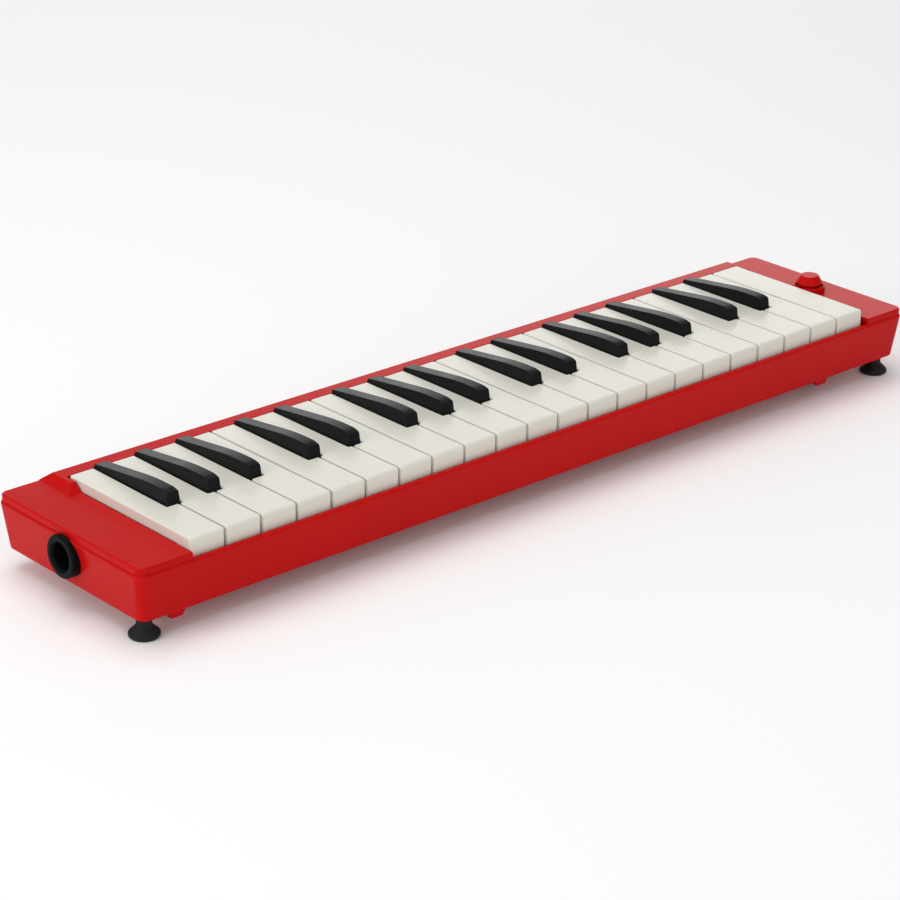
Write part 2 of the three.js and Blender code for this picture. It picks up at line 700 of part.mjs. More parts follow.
// ---------------------------------------------------------------- mouthpiece socket
function mouthpieceSocket() {
  const flange = rodX(SOCKET_Y, SOCKET_Z, SOCKET_FRONT, CASE_LEFT + 6, SOCKET_RADIUS, FINE);
  const behind = SOCKET_FRONT + 0.6;
  const sleeve = rodX(SOCKET_Y, SOCKET_Z, behind, CASE_LEFT + 6, SOCKET_RADIUS + 1, FINE);
  const cone = new THREE.CylinderGeometry(SOCKET_RADIUS + 0.4, SOCKET_RADIUS - 0.6, 1, FINE);
  cone.rotateZ(-Math.PI / 2).translate(SOCKET_FRONT + 0.5, SOCKET_Y, SOCKET_Z);
  const outside = (z) => CASE_LEFT + LEAN.left * leant(z) - GAP;
  const inside = CASE_LEFT + 20;
  const wall = prismY(
    [
      [outside(CASE_BOTTOM), CASE_BOTTOM],
      [inside, CASE_BOTTOM],
      [inside, DECK_TOP],
      [outside(RIM_TOP), DECK_TOP],
      [outside(RIM_TOP), RIM_TOP - EDGE],
    ],
    SOCKET_Y - 20,
    SOCKET_Y + 20,
  );
  const end = INLET_LEFT + CHEST_WALL;
  const barrel = rodX(SOCKET_Y, SOCKET_Z, SOCKET_FRONT + 1, end, BARREL_RADIUS);
  const bore = rodX(SOCKET_Y, SOCKET_Z, SOCKET_FRONT - OVER, end + OVER, SOCKET_BORE);
  const chamfered = flange.intersect(join([sleeve, solid(cone)]));
  return chamfered.subtract(wall).add(barrel).subtract(bore);
}

// ---------------------------------------------------------------- drain button
function drainButton() {
  const socketTop = PLUNGER_BOTTOM + 4;
  const socket = [DRAIN_X, DRAIN_Y, PLUNGER_BOTTOM - OVER, socketTop, STEM_RADIUS + GAP];
  return turned(
    [
      [0, PLUNGER_BOTTOM],
      [PLUNGER_RADIUS, PLUNGER_BOTTOM],
      [PLUNGER_RADIUS, BUTTON_BASE],
      [BUTTON_RADIUS - 0.4, BUTTON_BASE],
      [BUTTON_RADIUS, BUTTON_BASE + 0.4],
      [BUTTON_TOP_RADIUS + 0.5, BUTTON_TOP - 0.6],
      [BUTTON_TOP_RADIUS, BUTTON_TOP],
      [0, BUTTON_TOP],
    ],
    DRAIN_X,
    DRAIN_Y,
    FINE,
  ).subtract(rodZ(...socket, COARSE));
}

// Stem from the plunger through the chest, with the rubber disc that shuts the drain from below
function drainValve() {
  const discTop = CASE_BOTTOM - GAP;
  const stemTop = PLUNGER_BOTTOM + 4 - GAP;
  return turned(
    [
      [0, discTop - 1.6],
      [VALVE_RADIUS, discTop - 1.6],
      [VALVE_RADIUS, discTop],
      [STEM_RADIUS, discTop],
      [STEM_RADIUS, stemTop],
      [0, stemTop],
    ],
    DRAIN_X,
    DRAIN_Y,
    COARSE,
  );
}

// Coil spring round the stem, between the chest and the plunger
function drainSpring() {
  const low = CHEST_TOP + 0.8;
  const high = PLUNGER_BOTTOM - 0.7;
  const turns = 4;
  const radius = 2.9;
  const wireRadius = 0.35;
  const wireSides = 5;
  class Helix extends THREE.Curve {
    getPoint(t, target = new THREE.Vector3()) {
      const angle = 2 * Math.PI * turns * t;
      return target.set(
        DRAIN_X + radius * Math.cos(angle),
        DRAIN_Y + radius * Math.sin(angle),
        low + (high - low) * t,
      );
    }
  }
  const wire = Array.from({ length: wireSides }, (_, i) => {
    const angle = (2 * Math.PI * i) / wireSides;
    return [wireRadius * Math.cos(angle), wireRadius * Math.sin(angle)];
  });
  const options = { steps: 10 * turns, extrudePath: new Helix(), bevelEnabled: false };
  return solid(new THREE.ExtrudeGeometry(shapeOf(wire), options));
}

// ---------------------------------------------------------------- feet and screws
// Front pair, then rear pair, each left to right
function footPlaces() {
  const front = FRONT_FEET.map((x) => [x, CASE_FRONT + FEET_IN]);
  return [...front, ...REAR_FEET.map((x) => [x, CASE_REAR - FEET_IN])];
}

function foot(x, y) {
  return turned(
    [
      [0, 0],
      [6, 0],
      [6.8, 0.6],
      [7, 1.6],
      [6.6, 2.9],
      [4.4, 4.6],
      [3.5, 5.6],
      [3.5, CASE_BOTTOM - GAP],
      [FOOT_HOLE - GAP, CASE_BOTTOM - GAP],
      [FOOT_HOLE - GAP, CASE_BOTTOM + FLOOR],
      [0, CASE_BOTTOM + FLOOR],
    ],
    x,
    y,
  );
}

function screw(x, y) {
  const tip = DECK_TOP - 2;
  return turned(
    [
      [0, HEAD_BOTTOM],
      [HEAD, HEAD_BOTTOM],
      [HEAD, HEAD_TOP],
      [SHANK, HEAD_TOP],
      [SHANK, tip],
      [0, tip],
    ],
    x,
    y,
    COARSE,
  );
}

// ---------------------------------------------------------------- assembly
addPiece("lower_case", lowerCase(), redGloss);
addPiece("upper_case", upperCase(), redGloss);
addKeys();
addPiece("hinge_rod", hingeRod(), steel);
addPiece("key_spring_comb", springComb(), steel);
addPiece("key_stop_felt", stopFelt(), whiteFelt);
addPiece("pallet_seal", palletSeal(), paleSilicone);
addPiece("wind_chest", windChest(), greyPlastic);
addPiece("wind_chest_cover", chestCover(), greyPlastic);
addPiece("cover_gasket", coverGasket(), paleSilicone);
addPiece("reed_plate_bass", reedPlate(0, BASS_KEYS), brass);
addPiece("reed_plate_treble", reedPlate(BASS_KEYS, keys.length), brass);
addPiece("mouthpiece_socket", mouthpieceSocket(), blackRubber);
addPiece("drain_button", drainButton(), redGloss);
addPiece("drain_spring", drainSpring(), steel);
addPiece("drain_valve", drainValve(), blackRubber);
const footNames = ["front_left", "front_right", "rear_left", "rear_right"];
footPlaces().forEach(([x, y], i) => addPiece(`foot_${footNames[i]}`, foot(x, y), blackRubber));
SCREWS.forEach(([x, y], i) => addPiece(`case_screw_${i + 1}`, screw(x, y), steel));

const group = new THREE.Group();
group.add(instrument);
export default group;
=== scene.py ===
import math

import bmesh
import bpy
from mathutils import Matrix, Vector


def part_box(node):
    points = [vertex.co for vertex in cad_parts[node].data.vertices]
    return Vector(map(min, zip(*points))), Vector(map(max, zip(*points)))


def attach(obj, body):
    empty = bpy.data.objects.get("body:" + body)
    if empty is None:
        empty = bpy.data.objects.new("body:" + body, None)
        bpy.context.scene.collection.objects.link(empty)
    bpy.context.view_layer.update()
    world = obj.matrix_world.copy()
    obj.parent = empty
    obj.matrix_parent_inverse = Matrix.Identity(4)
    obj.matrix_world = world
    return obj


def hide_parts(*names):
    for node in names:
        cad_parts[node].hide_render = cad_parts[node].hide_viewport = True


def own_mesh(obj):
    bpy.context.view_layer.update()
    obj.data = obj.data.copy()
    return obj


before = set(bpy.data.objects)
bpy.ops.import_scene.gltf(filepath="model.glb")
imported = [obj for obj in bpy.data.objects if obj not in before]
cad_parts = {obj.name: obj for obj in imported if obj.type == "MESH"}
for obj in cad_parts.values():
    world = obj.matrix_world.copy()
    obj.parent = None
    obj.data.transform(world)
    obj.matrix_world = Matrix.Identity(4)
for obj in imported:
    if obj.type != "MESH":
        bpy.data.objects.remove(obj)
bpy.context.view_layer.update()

# Lengths below are in millimetres, counted as in the CAD: x from the lowest white key's left edge, y from
# the inner edge of the case's front lip, z from the ground. The frame says where that corner lies.
MM = 0.001


def box(node):
    """Lowest and highest corner of a CAD node, in millimetres of the part's frame."""
    low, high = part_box(node)
    return low / MM, high / MM


# ---------------------------------------------------------------- driving dimensions
WHITE_COUNT = 22
BLACK_COUNT = 15
WHITES = [f"white_key_{number:02d}" for number in range(1, WHITE_COUNT + 1)]
BLACKS = [f"black_key_{number:02d}" for number in range(1, BLACK_COUNT + 1)]
KEY_GAP = 1.0
LIP = 2.85  # thickness of the case's front lip
ORIGIN_X = box(WHITES[0])[0].x - KEY_GAP / 2
ORIGIN_Y = box("lower_case")[0].y + LIP
KEYBOARD = box(WHITES[-1])[1].x + KEY_GAP / 2 - ORIGIN_X

CASE_LEFT = box("lower_case")[0].x - ORIGIN_X
CASE_RIGHT = box("lower_case")[1].x - ORIGIN_X
CASE_FRONT = -LIP
CASE_REAR = box("lower_case")[1].y - ORIGIN_Y
CASE_BOTTOM = 9.6
RIM_TOP = box("lower_case")[1].z
DECK_TOP = 36.6
RAIL_TOP = box("upper_case")[1].z
LEAN_TOP = RIM_TOP - 0.7  # the walls are upright above this height
LEAN = {"left": 3.75, "right": 0.5, "front": 4.3, "rear": 0.4}  # from rim to floor
WELL_BOTTOM = 25.0  # above this height the front wall is upright inside
CORNER = 4.6
INNER_CORNER = 1.5
WALL = 2.6
FLOOR = 2.2
PLATE = 2.2
REVEAL = 0.7
SUNK = 1.0  # how far a joined piece reaches into its neighbour, and a cutter past it
SEAM = 0.3
TOUCH = 0.02  # between pieces that rest on each other

SHELF = {"inset": 2, "front": -0.3, "rear": 13, "bottom": 22, "top": 24.2}  # under the keys' fronts
RIBS = (0.02, 0.25, 0.5, 0.75, 0.98)  # their places along the shelf
LUGS = {"places": (-5.4, KEYBOARD - 25.7), "reach": 6, "tip": 2.9, "bottom": 6, "front": 3.4, "rear": 8}
STUD = {"place": (-10, 12.5), "radius": 4.6, "bottom": 7.4}
BOSS_TOP = 31.2
BOSS_RADIUS = 4.2
HOLES = {"drain": 2.6, "foot": 2.5, "shank": 1.9, "head": 3.3, "pilot": 1.7}  # radii in both cases
HEAD_SINK = 2.6  # depth of a screw head's hole
SOCKET_HOLE_END = -18.0

BLOCK = {"front": 79, "rise": 4, "slope": 4.3, "width": 2.2}  # the raised blocks beside the rail
CROWN_WALL = 2
RAIL_FRONT = 90.3
RAIL_CREST = 97.7
RAIL_SKIRT = 36.3
DECK_GAP = 1.6  # right deck to keyboard
SKIRT = {"thick": 2, "front": 1, "rear": 40, "bottom": 29.5}

WHITE_TOP = box(WHITES[0])[1].z
WHITE_FRONT = 0.95
WHITE_REAR = 88.5
APRON_BOTTOM = 31.0
SIDE_BOTTOM = 36.0
KEY_WALL = 1.8
NOTCH = 0.6
TURN = 0.8  # rounding of a white key's rear and shoulder corners in plan
BLACK_FRONT = 34.5
BLACK_REAR = 89.6
BLACK_RISE = 6  # black key's top over the white keys' tops
FALL_FROM, FALL_STRAIGHT, FALL_SLOPE = 43.0, 59.0, 0.122
DIP_DEPTH, DIP_LENGTH = 1.25, 6  # at a black key's front end

PIVOT_Y = 68.0
PIVOT_Z = 33.4
HUB_RADIUS = 3.1
BORE_RADIUS = 1.5
LEVER_WIDTH = 6.4
LEVER_BOTTOM = 31.3
PAD_FRONT = 83.0
PAD_REAR = 93.3
PAD_BOTTOM = 29.1

SOCKET_Y = 51.55
SOCKET_Z = 24.5
SOCKET_RADIUS = 9.9
SOCKET_BORE = 6.3
SOCKET_FRONT = box("mouthpiece_socket")[0].x - ORIGIN_X
SOCKET_END = box("mouthpiece_socket")[1].x - ORIGIN_X
BARREL_RADIUS = 8.0

DRAIN_X = (box("drain_button")[0].x + box("drain_button")[1].x) / 2 - ORIGIN_X
DRAIN_Y = (box("drain_button")[0].y + box("drain_button")[1].y) / 2 - ORIGIN_Y
PLUNGER_BOTTOM = box("drain_button")[0].z
BUTTON_TOP = box("drain_button")[1].z
BUTTON_BASE = BUTTON_TOP - 4.4
BUTTON_RADIUS = 7.0
COLLAR_TOP = BUTTON_BASE - 0.9
COLLAR_FLOOR = COLLAR_TOP - 1.5
COLLAR_RADIUS = 8.4
PLUNGER_RADIUS = 5.1
CROWN_RADIUS = 4.75  # of the button's flat top
VALVE_RADIUS, VALVE_DEPTH, STEM_RADIUS = 4, 1.6, 1.5
SPRING_RADIUS, SPRING_WIRE, SPRING_TURNS = 2.9, 0.35, 4
GUIDE = {"bottom": 30.5, "wall": 2.2}

ARC = 6  # steps of a small rounding
ROUND = 64  # steps round a turned piece


def middle(node):
    """Centre of a CAD node in plan, in the drawing's millimetres."""
    low, high = box(node)
    return (low.x + high.x) / 2 - ORIGIN_X, (low.y + high.y) / 2 - ORIGIN_Y


FEET = [f"foot_{end}_{side}" for end in ("front", "rear") for side in ("left", "right")]
SCREWS = [f"case_screw_{number}" for number in range(1, 5)]
FOOT_PLACES = [middle(node) for node in FEET]
SCREW_PLACES = [middle(node) for node in SCREWS]


# ---------------------------------------------------------------- outlines
def arc(centre, radius, start, end, steps=ARC):
    """Points of a circle's arc between two angles in degrees."""
    angles = [math.radians(start + (end - start) * i / steps) for i in range(steps + 1)]
    return [(centre[0] + radius * math.cos(a), centre[1] + radius * math.sin(a)) for a in angles]


def fillet(corners, steps=ARC, closed=True):
    """Rounds the corners of an outline. A corner is (u, v) or (u, v, radius)."""
    made = []
    count = len(corners)
    for i, corner in enumerate(corners):
        here = Vector(corner[:2])
        radius = corner[2] if len(corner) > 2 else 0
        if not radius or (not closed and i in (0, count - 1)):
            made.append(tuple(here))
            continue
        before = (Vector(corners[i - 1][:2]) - here).normalized()
        after = (Vector(corners[(i + 1) % count][:2]) - here).normalized()
        half = before.angle(after) / 2
        centre = here + (before + after).normalized() * (radius / math.sin(half))
        start = here + before * (radius / math.tan(half)) - centre
        end = here + after * (radius / math.tan(half)) - centre
        for step in range(steps + 1):
            share = step / steps
            turn = start.angle_signed(end) * -share
            made.append(tuple(centre + Matrix.Rotation(turn, 2) @ start))
    return made


def inset(outline, distance):
    """An anticlockwise outline drawn in by a distance."""
    made = []
    for i, here in enumerate(outline):
        before = Vector(here) - Vector(outline[i - 1])
        after = Vector(outline[(i + 1) % len(outline)]) - Vector(here)
        normals = [Vector((-d.y, d.x)).normalized() for d in (before, after)]
        shift = (normals[0] + normals[1]) / (1 + normals[0].dot(normals[1]))
        made.append(tuple(Vector(here) + shift * distance))
    return made


def rounded_rectangle(x0, x1, y0, y1, radius, steps=ARC):
    corners = [(x0, y0, radius), (x1, y0, radius), (x1, y1, radius), (x0, y1, radius)]
    return fillet(corners, steps)


# ---------------------------------------------------------------- shells: (points, faces)
def skin(rings, closed=False):
    """A surface through rings of equal length, capped at both ends unless it closes on itself."""
    count = len(rings[0])
    points = [point for ring in rings for point in ring]
    faces = []
    for level in range(len(rings) if closed else len(rings) - 1):
        low = level * count
        high = (level + 1) % len(rings) * count
        for i in range(count):
            j = (i + 1) % count
            faces.append((low + i, low + j, high + j, high + i))
    if not closed:
        faces.append(tuple(range(count))[::-1])
        faces.append(tuple(range(len(points) - count, len(points))))
    return points, faces


AXES = {
    "X": lambda u, v, h: (h, u, v),
    "Y": lambda u, v, h: (u, h, v),
    "Z": lambda u, v, h: (u, v, h),
}


def prism(outline, low, high, axis, edge=0.25, steps=3):
    """An outline drawn along an axis, with its end edges rounded."""
    place = AXES[axis]
    rings = []
    for side, sign in ((low, 1), (high, -1)):
        ends = []
        for step in range(steps + 1):
            angle = math.pi / 2 * step / steps
            depth = edge * (1 - math.sin(angle))
            height = side + sign * edge * (1 - math.cos(angle))
            ends.append([place(u, v, height) for u, v in inset(outline, depth)])
        rings += ends if sign > 0 else ends[::-1]
    return skin(rings)


def block(x0, x1, y0, y1, z0, z1):
    """A plain box, for cutting and joining."""
    outline = [(x0, y0), (x1, y0), (x1, y1), (x0, y1)]
    return skin([[(x, y, z) for x, y in outline] for z in (z0, z1)])


def turned(profile, centre, axis="Z", segments=ROUND):
    """A profile of (radius, height) points turned about an axis.
    It closes on itself unless it starts on the axis."""
    place = AXES[axis]
    open_ends = profile[0][0] == 0
    rings = []
    for radius, height in profile:
        if radius == 0:
            continue
        circle = arc(centre, radius, 0, 360, segments)[:-1]
        rings.append([place(u, v, height) for u, v in circle])
    return skin(rings, closed=not open_ends)


def rod(centre, low, high, radius, axis="Z", segments=ROUND):
    return turned([(0, low), (radius, low), (radius, high), (0, high)], centre, axis, segments)


# ---------------------------------------------------------------- objects
def to_object(name, *shells):
    """One mesh object from shells in the drawing's millimetres, with its faces pointing out."""
    form = bmesh.new()
    for points, faces in shells:
        verts = [
            form.verts.new(((x + ORIGIN_X) * MM, (y + ORIGIN_Y) * MM, z * MM)) for x, y, z in points
        ]
        for face in faces:
            form.faces.new([verts[i] for i in face])
    bmesh.ops.recalc_face_normals(form, faces=form.faces)
    mesh = bpy.data.meshes.new(name)
    form.to_mesh(mesh)
    form.free()
    made = bpy.data.objects.new(name, mesh)
    bpy.context.scene.collection.objects.link(made)
    return made


def boolean(target, shells, operation):
    """Joins shells to an object, or cuts them from it."""
    tools = []
    for shell in shells:
        tool = to_object("tool", shell)
        modifier = target.modifiers.new("boolean", "BOOLEAN")
        modifier.operation = operation
        modifier.solver = "EXACT"
        modifier.object = tool
        tools.append(tool)
    bpy.context.view_layer.update()
    evaluated = target.evaluated_get(bpy.context.evaluated_depsgraph_get())
    mesh = bpy.data.meshes.new_from_object(evaluated)
    target.modifiers.clear()
    target.data = mesh
    for tool in tools:
        bpy.data.objects.remove(tool)


SHARP = math.radians(38)


def soften(target, width, steps=3):
    """Merges an object's coplanar faces and rounds its sharp edges."""
    form = bmesh.new()
    form.from_mesh(target.data)
    bmesh.ops.remove_doubles(form, verts=form.verts, dist=0.004 * MM)
    flat = math.radians(0.6)
    bmesh.ops.dissolve_limit(form, angle_limit=flat, verts=form.verts, edges=form.edges)
    sharp = [e for e in form.edges if len(e.link_faces) == 2 and e.calc_face_angle() > SHARP]
    bmesh.ops.bevel(
        form,
        geom=sharp,
        offset=width * MM,
        segments=steps,
        profile=0.5,
        affect="EDGES",
        clamp_overlap=True,
    )
    form.to_mesh(target.data)
    form.free()


def shade(target):
    """Smooth shading that leaves large flat faces flat and true corners sharp."""
    form = bmesh.new()
    form.from_mesh(target.data)
    for face in form.faces:
        face.smooth = True
    for edge in form.edges:
        angle = edge.calc_face_angle(0) if len(edge.link_faces) == 2 else 0
        edge.smooth = angle < SHARP
    form.to_mesh(target.data)
    form.free()
    normals = target.modifiers.new("normals", "WEIGHTED_NORMAL")
    normals.keep_sharp = True
    normals.weight = 90


def finish(target, material, body, slot, *nodes):
    """Gives an object its finish and its body, and hides the CAD nodes it stands for."""
    shade(target)
    target.data.materials.clear()
    target.data.materials.append(material)
    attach(target, body)
    if nodes:
        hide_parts(*nodes)
    return target


# ---------------------------------------------------------------- materials
def new_material(name):
    material = bpy.data.materials.new(name)
    material.use_nodes = True
    nodes = material.node_tree.nodes
    shader = next(node for node in nodes if node.type == "BSDF_PRINCIPLED")
    return material, nodes, material.node_tree.links, shader


def noise(nodes, links, coordinates, scale, detail=2.0, stretch=(1, 1, 1)):
    mapping = nodes.new("ShaderNodeMapping")
    mapping.inputs["Scale"].default_value = stretch
    links.new(coordinates, mapping.inputs["Vector"])
    texture = nodes.new("ShaderNodeTexNoise")
    texture.inputs["Scale"].default_value = scale
    texture.inputs["Detail"].default_value = detail
    links.new(mapping.outputs["Vector"], texture.inputs["Vector"])
    return texture.outputs["Fac"]


def spread(nodes, links, value, low, high, contrast=0.3):
    """A noise value stretched about its middle and mapped to a range."""
    ramp = nodes.new("ShaderNodeMapRange")
    ramp.inputs["From Min"].default_value = 0.5 - contrast
    ramp.inputs["From Max"].default_value = 0.5 + contrast
    ramp.inputs["To Min"].default_value = low
    ramp.inputs["To Max"].default_value = high
    links.new(value, ramp.inputs["Value"])
    return ramp.outputs["Result"]


def blend(nodes, links, share, first, second):
    """A colour between two colours."""
    mix = nodes.new("ShaderNodeMix")
    mix.data_type = "RGBA"
    links.new(share, mix.inputs["Factor"])
    for socket, colour in ((mix.inputs["A"], first), (mix.inputs["B"], second)):
        if isinstance(colour, bpy.types.NodeSocket):
            links.new(colour, socket)
        else:
            socket.default_value = (*colour, 1)
    return mix.outputs["Result"]


def surface(
    name,
    colour,
    roughness,
    tint=0.06,
    cloud=25,
    grain=700,
    height=0.0,
    streaks=(1, 1, 1),
    metallic=0.0,
    **constants,
):
    """A moulded, rolled or pressed material: clouded colour, uneven gloss, a grain of that height in mm."""
    material, nodes, links, shader = new_material(name)
    place = nodes.new("ShaderNodeTexCoord").outputs["Object"]
    clouds = noise(nodes, links, place, cloud, 3)
    dark = tuple(c * (1 - tint) for c in colour)
    light = tuple(min(c * (1 + tint), 1) for c in colour)
    clouded = blend(nodes, links, spread(nodes, links, clouds, 0, 1), dark, light)
    links.new(clouded, shader.inputs["Base Color"])
    gloss = noise(nodes, links, place, cloud * 3.1, 4, streaks)
    links.new(
        spread(nodes, links, gloss, roughness * 0.86, roughness * 1.14), shader.inputs["Roughness"]
    )
    if height:
        bump = nodes.new("ShaderNodeBump")
        bump.inputs["Strength"].default_value = 1
        bump.inputs["Distance"].default_value = height * MM
        links.new(noise(nodes, links, place, grain, 2, streaks), bump.inputs["Height"])
        links.new(bump.outputs["Normal"], shader.inputs["Normal"])
    shader.inputs["Metallic"].default_value = metallic
    for socket, value in constants.items():
        shader.inputs[socket.replace("_", " ")].default_value = value
    return material


red = surface("red_gloss_abs", (0.51, 0.0055, 0.0055), 0.19, tint=0.03, cloud=14, Specular_IOR_Level=0.05)
ivory = surface("ivory_key_plastic", (0.73, 0.715, 0.635), 0.3, tint=0.015, cloud=18)
black = surface(
    "black_key_plastic",
    (0.0085, 0.0092, 0.0098),
    0.33,
    tint=0.15,
    cloud=30,
    Specular_IOR_Level=0.08,
)
socket_black = surface(
    "socket_black_plastic",
    (0.003, 0.0045, 0.0055),
    0.4,
    tint=0.15,
    Specular_IOR_Level=0.05,
)
rubber = surface(
    "black_rubber",
    (0.008, 0.008, 0.0085),
    0.6,
    tint=0.2,
    grain=1100,
    height=0.02,
    Specular_IOR_Level=0.25,
)
grey = surface("grey_chest_plastic", (0.2, 0.205, 0.21), 0.45)
silicone = surface("pale_silicone", (0.62, 0.58, 0.48), 0.55, tint=0.08)
felt = surface(
    "wool_felt",
    (0.66, 0.62, 0.53),
    0.95,
    tint=0.16,
    cloud=160,
    grain=1500,
    height=0.25,
    Sheen_Weight=0.4,
)
brass = surface(
    "milled_brass",
    (0.72, 0.52, 0.23),
    0.3,
    tint=0.1,
    grain=500,
    height=0.01,
    streaks=(0.06, 1, 1),
    metallic=1.0,
)
steel = surface(
    "bright_steel",
    (0.56, 0.57, 0.59),
    0.28,
    tint=0.08,
    grain=600,
    height=0.006,
    streaks=(0.08, 1, 1),
    metallic=1.0,
)

BODY = "case"


# ---------------------------------------------------------------- case
def leant(z):
    """The share of its lean that a wall has reached at height z."""
    return max(LEAN_TOP - z, 0) / (LEAN_TOP - CASE_BOTTOM)


def case_ring(depth, z, front=None, height=None):
    """The case in plan at height z, drawn in by depth."""
    share = leant(z)
    outline = rounded_rectangle(
        CASE_LEFT + depth + LEAN["left"] * share,
        CASE_RIGHT - depth - LEAN["right"] * share,
        (CASE_FRONT + depth if front is None else front) + LEAN["front"] * share,
        CASE_REAR - depth - LEAN["rear"] * share,
        max(CORNER - depth, INNER_CORNER),
        10,
    )
    return [(x, y, z if height is None else height) for x, y in outline]


def quarter(radius, steps=ARC):
    """Steps of a quarter round: (distance from the wall, distance from the end face)."""
    angles = [math.pi / 2 * i / steps for i in range(steps + 1)]
    return [(radius * (1 - math.sin(a)), radius * (1 - math.cos(a))) for a in angles]


def lower_case():
    bottom = [case_ring(d, CASE_BOTTOM + h) for d, h in quarter(0.9)]
    rim = [case_ring(d, RIM_TOP - h) for d, h in quarter(1.4)[::-1]]
    inside = [case_ring(WALL - d, RIM_TOP - h, -d) for d, h in quarter(0.3)]
    inside.append(case_ring(WALL, WELL_BOTTOM, -LEAN["front"] * leant(WELL_BOTTOM)))
    floor = [case_ring(WALL + d, CASE_BOTTOM + FLOOR + h, d) for d, h in quarter(0.5)[::-1]]
    body = to_object("lower_case_shell", skin(bottom + rim + inside + floor))
    sunk = CASE_BOTTOM + SUNK
    lugs = []
    reach, tip, bottom = LUGS["reach"], LUGS["tip"], LUGS["bottom"]
    for x in LUGS["places"]:
        side = [(x - reach, sunk), (x - tip, bottom, 0.5), (x + tip, bottom, 0.5), (x + reach, sunk)]
        lugs.append(prism(fillet(side, 4), LUGS["front"], LUGS["rear"], "Y", 0.4))
    radius, bottom = STUD["radius"], STUD["bottom"]
    round_edge = [(radius - 0.6, bottom), (radius - 0.15, bottom + 0.2), (radius, bottom + 0.6)]
    stud = turned([(0, bottom), *round_edge, (radius, sunk), (0, sunk)], STUD["place"])
    left, right = SHELF["inset"], KEYBOARD - SHELF["inset"]
    shelf = block(left, right, SHELF["front"], SHELF["rear"], SHELF["bottom"], SHELF["top"])
    ribs = []
    for share in RIBS:
        x = left + (right - left) * share
        rib = block(x - 1, x + 1, SHELF["front"] + 3.8, SHELF["rear"] - 1, sunk, SHELF["bottom"] + 0.5)
        ribs.append(rib)
    bosses = [rod(place, sunk, BOSS_TOP, BOSS_RADIUS) for place in SCREW_PLACES]
    boolean(body, [*lugs, stud, shelf, *ribs, *bosses], "UNION")
    under = CASE_BOTTOM - SUNK
    floor_top = CASE_BOTTOM + FLOOR + SUNK
    socket_place = (SOCKET_Y, SOCKET_Z)
    holes = [rod(socket_place, CASE_LEFT - SUNK, SOCKET_HOLE_END, BARREL_RADIUS + SEAM, "X")]
    holes.append(rod((DRAIN_X, DRAIN_Y), under, floor_top, HOLES["drain"]))
    holes += [rod(place, under, floor_top, HOLES["foot"]) for place in FOOT_PLACES]
    for place in SCREW_PLACES:
        holes.append(rod(place, under, BOSS_TOP + SUNK, HOLES["shank"], segments=32))
    holes += [rod(place, under, CASE_BOTTOM + HEAD_SINK, HOLES["head"]) for place in SCREW_PLACES]
    boolean(body, holes, "DIFFERENCE")
    soften(body, 0.3)
    finish(body, red, BODY, "red_plastic", "lower_case")


def hill(depth, bottom):
    """The rail behind the keys and the blocks beside its ends, as one sloping hill."""
    side = BLOCK["width"] + SEAM

    def ring(reach, front, rear, z):
        x0 = depth - side - reach
        x1 = KEYBOARD + side + reach - depth
        return [(x0, front, z), (x1, front, z), (x1, rear, z), (x0, rear, z)]

    foot = (BLOCK["slope"], BLOCK["front"] + depth, CASE_REAR - REVEAL - depth)
    crest = (0, BLOCK["front"] + BLOCK["rise"] + depth, RAIL_CREST - depth)
    return skin(
        [
            ring(*foot, bottom),
            ring(*foot, DECK_TOP - 0.01 - depth / 2),
            ring(*crest, RAIL_TOP - depth),
        ]
    )


